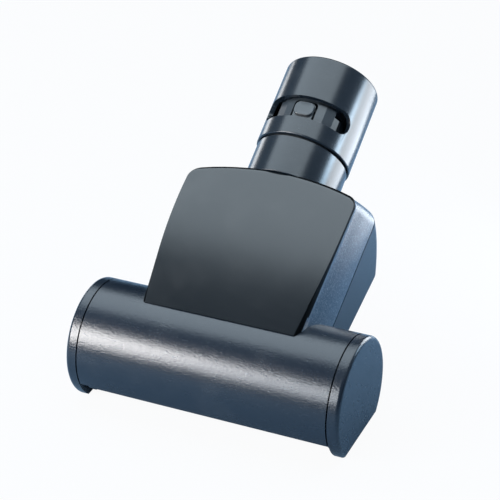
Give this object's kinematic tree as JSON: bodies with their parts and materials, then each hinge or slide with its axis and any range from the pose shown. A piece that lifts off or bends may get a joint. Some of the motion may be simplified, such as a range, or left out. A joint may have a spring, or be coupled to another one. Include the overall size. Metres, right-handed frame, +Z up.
{
  "type": "vacuum turbo brush",
  "caption": "Small air-driven vacuum brush: a domed head with a bristle roller and a raised body that narrows to a swivelling hose neck with a thumb air regulator.",
  "frame": {"origin": "middle of the rear sill's flat underside, on the plane of the sole", "axes": "+X along the head to its right end, +Y back toward the hose neck, +Z up from the sole"},
  "size_m": [0.1234, 0.156, 0.1139],
  "materials": {
    "black_shell": "fine grain, satin",
    "grey_insert": "satin",
    "pulley_nylon": "plain",
    "bright_steel": "turned",
    "bush_bronze": "sintered bronze",
    "belt_rubber": "moulded",
    "seal_rubber": "smooth",
    "bristle_fibre": "nylon fibre"
  },
  "bodies": {
    "housing": {"upper_shell": "black_shell", "lower_shell": "black_shell", "left_end_cap": "black_shell", "right_end_cap": "black_shell", "left_roller_bearing": "bush_bronze", "right_roller_bearing": "bush_bronze", "left_turbine_bearing": "bush_bronze", "right_turbine_bearing": "bush_bronze", "belt_guard": "grey_insert", "air_nozzle": "grey_insert", "drive_belt": "belt_rubber", "neck_tube": "black_shell", "retaining_ring": "bright_steel", "swivel_seal": "seal_rubber", "front_left_screw": "bright_steel", "front_right_screw": "bright_steel", "rear_left_screw": "bright_steel", "rear_right_screw": "bright_steel"},
    "roller": {"roller_axle": "bright_steel", "left_roller_core": "black_shell", "right_roller_core": "black_shell", "roller_pulley": "pulley_nylon", "left_bristle_strip_1": "bristle_fibre", "left_bristle_strip_2": "bristle_fibre", "right_bristle_strip_1": "bristle_fibre", "right_bristle_strip_2": "bristle_fibre"},
    "turbine": {"turbine_wheel": "grey_insert", "turbine_shaft": "bright_steel", "turbine_pinion": "pulley_nylon"},
    "sleeve": {"swivel_sleeve": "black_shell", "socket_liner": "grey_insert"},
    "regulator": {"regulator_slide": "grey_insert"},
    "latch": {"regulator_latch": "black_shell"}
  },
  "joints": [
    {"name": "roller_spin", "type": "hinge", "parent": "housing", "child": "roller", "pos_m": [0, -0.01525, 0.019], "axis": [1, 0, 0], "continuous": true, "deforming": ["drive_belt"]},
    {"name": "turbine_spin", "type": "hinge", "parent": "housing", "child": "turbine", "pos_m": [0, 0.02613, 0.04367], "axis": [1, 0, 0], "continuous": true},
    {"name": "neck_swivel", "type": "hinge", "parent": "housing", "child": "sleeve", "pos_m": [0, 0.06753, 0.073], "axis": [0, 0.859, 0.512], "continuous": true},
    {"name": "regulator_turn", "type": "hinge", "parent": "sleeve", "child": "regulator", "pos_m": [0, 0.06753, 0.073], "axis": [0, 0.859, 0.512], "range_deg": [-20, 20]},
    {"name": "latch_press", "type": "hinge", "parent": "regulator", "child": "latch", "pos_m": [0, 0.06822, 0.0939], "axis": [-1, 0, 0], "range_deg": [0, 6], "stiffness_Nm_per_rad": 0.05}
  ],
  "couplings": [
    {"joint": "turbine_spin", "follows": "roller_spin", "ratio": 2}
  ]
}
